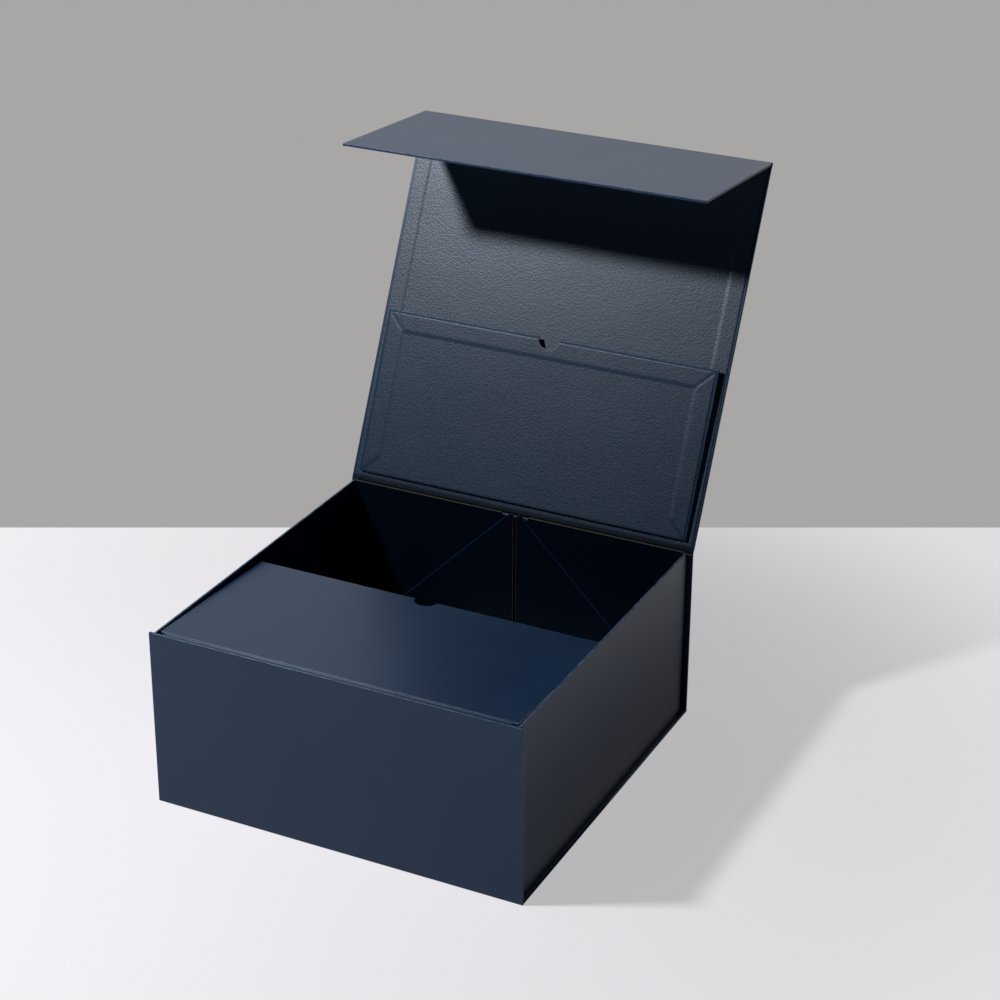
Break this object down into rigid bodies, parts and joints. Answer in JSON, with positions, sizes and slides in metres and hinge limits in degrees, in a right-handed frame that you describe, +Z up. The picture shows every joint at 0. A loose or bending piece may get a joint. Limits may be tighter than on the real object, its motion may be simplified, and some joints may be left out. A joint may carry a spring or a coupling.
{
  "type": "folding gift box",
  "caption": "Square folding gift box of paper-wrapped board, with a hinged lid, a magnetic front flap, inner closing flaps with thumb notches and corner gussets that let it fold flat.",
  "frame": {"origin": "middle of the base's lower face, on the table", "axes": "+X to the right, +Y from the front panel to the back panel, +Z up"},
  "size_m": [0.338, 0.4813, 0.4783],
  "materials": {
    "cover_paper": "dark navy wrapping paper, smooth satin-matte",
    "lining_paper": "dark navy paper with a fine leather grain",
    "board": "raw grey-brown greyboard, matte",
    "magnet": "nickel plated, satin"
  },
  "bodies": {
    "base": {"base_board": "board", "base_cover": "cover_paper", "base_liner": "lining_paper", "front_base_hinge_strip": "cover_paper", "back_base_hinge_strip": "cover_paper", "left_wall_hinge_strip": "cover_paper", "right_wall_hinge_strip": "cover_paper"},
    "front_panel": {"front_panel_board": "board", "front_panel_cover": "cover_paper", "front_panel_magnets": "magnet", "front_left_fixed_board": "cover_paper", "front_right_fixed_board": "cover_paper", "front_flap_hinge_strip": "cover_paper"},
    "back_panel": {"back_panel_board": "board", "back_panel_cover": "cover_paper", "rear_flap_anchor_board": "cover_paper", "back_left_fixed_board": "cover_paper", "back_right_fixed_board": "cover_paper", "lid_hinge_strip": "cover_paper"},
    "left_wall": {"left_wall_board": "board", "left_wall_cover": "cover_paper"},
    "right_wall": {"right_wall_board": "board", "right_wall_cover": "cover_paper"},
    "front_left_gusset": {"front_left_gusset": "cover_paper"},
    "front_right_gusset": {"front_right_gusset": "cover_paper"},
    "back_left_gusset": {"back_left_gusset": "cover_paper"},
    "back_right_gusset": {"back_right_gusset": "cover_paper"},
    "front_flap": {"front_flap_board": "board", "front_flap_cover": "cover_paper", "front_flap_liner": "cover_paper"},
    "lid": {"lid_board": "board", "lid_cover": "cover_paper", "lid_liner": "lining_paper", "rear_flap_hinge_strip": "cover_paper"},
    "magnet_flap_hinge": {"magnet_flap_hinge_strip": "cover_paper"},
    "magnet_flap": {"magnet_flap_board": "board", "magnet_flap_cover": "cover_paper", "magnet_flap_liner": "cover_paper", "magnet_flap_magnets": "magnet"},
    "rear_flap": {"rear_flap_board": "board", "rear_flap_cover": "cover_paper", "rear_flap_liner": "lining_paper"}
  },
  "joints": [
    {"name": "collapse", "type": "hinge", "parent": "base", "child": "back_panel", "pos_m": [0, 0.16765, 0], "axis": [-1, 0, 0], "range_deg": [0, 90]},
    {"name": "front_panel_fold", "type": "hinge", "parent": "base", "child": "front_panel", "pos_m": [0, -0.16765, 0], "axis": [1, 0, 0], "range_deg": [0, 90]},
    {"name": "left_wall_fold", "type": "hinge", "parent": "base", "child": "left_wall", "pos_m": [-0.163, 0, 0.0027], "axis": [0, 1, 0], "range_deg": [0, 90]},
    {"name": "right_wall_fold", "type": "hinge", "parent": "base", "child": "right_wall", "pos_m": [0.163, 0, 0.0027], "axis": [0, -1, 0], "range_deg": [0, 90]},
    {"name": "back_left_crease", "type": "hinge", "parent": "back_panel", "child": "back_left_gusset", "pos_m": [-0.163, 0.16085, 0.0027], "axis": [0.7071, 0, 0.7071], "range_deg": [0, 180]},
    {"name": "back_right_crease", "type": "hinge", "parent": "back_panel", "child": "back_right_gusset", "pos_m": [0.163, 0.16085, 0.0027], "axis": [0.7071, 0, -0.7071], "range_deg": [0, 180]},
    {"name": "front_left_crease", "type": "hinge", "parent": "front_panel", "child": "front_left_gusset", "pos_m": [-0.163, -0.16315, 0.0027], "axis": [-0.7071, 0, -0.7071], "range_deg": [0, 180]},
    {"name": "front_right_crease", "type": "hinge", "parent": "front_panel", "child": "front_right_gusset", "pos_m": [0.163, -0.16315, 0.0027], "axis": [-0.7071, 0, 0.7071], "range_deg": [0, 180]},
    {"name": "front_flap_hinge", "type": "hinge", "parent": "front_panel", "child": "front_flap", "pos_m": [0, -0.16515, 0.1573], "axis": [1, 0, 0], "range_deg": [0, 90]},
    {"name": "lid_hinge", "type": "hinge", "parent": "back_panel", "child": "lid", "pos_m": [0, 0.16735, 0.1608], "axis": [1, 0, 0], "range_deg": [0, 115.5]},
    {"name": "magnet_flap_crease", "type": "hinge", "parent": "lid", "child": "magnet_flap_hinge", "pos_m": [0, 0.31161, 0.46326], "axis": [-1, 0, 0], "range_deg": [0, 20.8]},
    {"name": "magnet_flap_fold", "type": "hinge", "parent": "magnet_flap_hinge", "child": "magnet_flap", "pos_m": [0, 0.31048, 0.46521], "axis": [-1, 0, 0], "range_deg": [0, 111.3]},
    {"name": "rear_flap_hinge", "type": "hinge", "parent": "lid", "child": "rear_flap", "pos_m": [0, 0.16735, 0.1608], "axis": [-1, 0, 0], "range_deg": [-114.2, 0]}
  ],
  "couplings": [
    {"joint": "front_panel_fold", "follows": "collapse", "ratio": 1},
    {"joint": "left_wall_fold", "follows": "collapse", "ratio": 1},
    {"joint": "right_wall_fold", "follows": "collapse", "ratio": 1},
    {"joint": "back_left_crease", "follows": "collapse", "ratio": 2},
    {"joint": "back_right_crease", "follows": "collapse", "ratio": 2},
    {"joint": "front_left_crease", "follows": "collapse", "ratio": 2},
    {"joint": "front_right_crease", "follows": "collapse", "ratio": 2},
    {"joint": "magnet_flap_crease", "follows": "lid_hinge", "ratio": 0.18009}
  ]
}
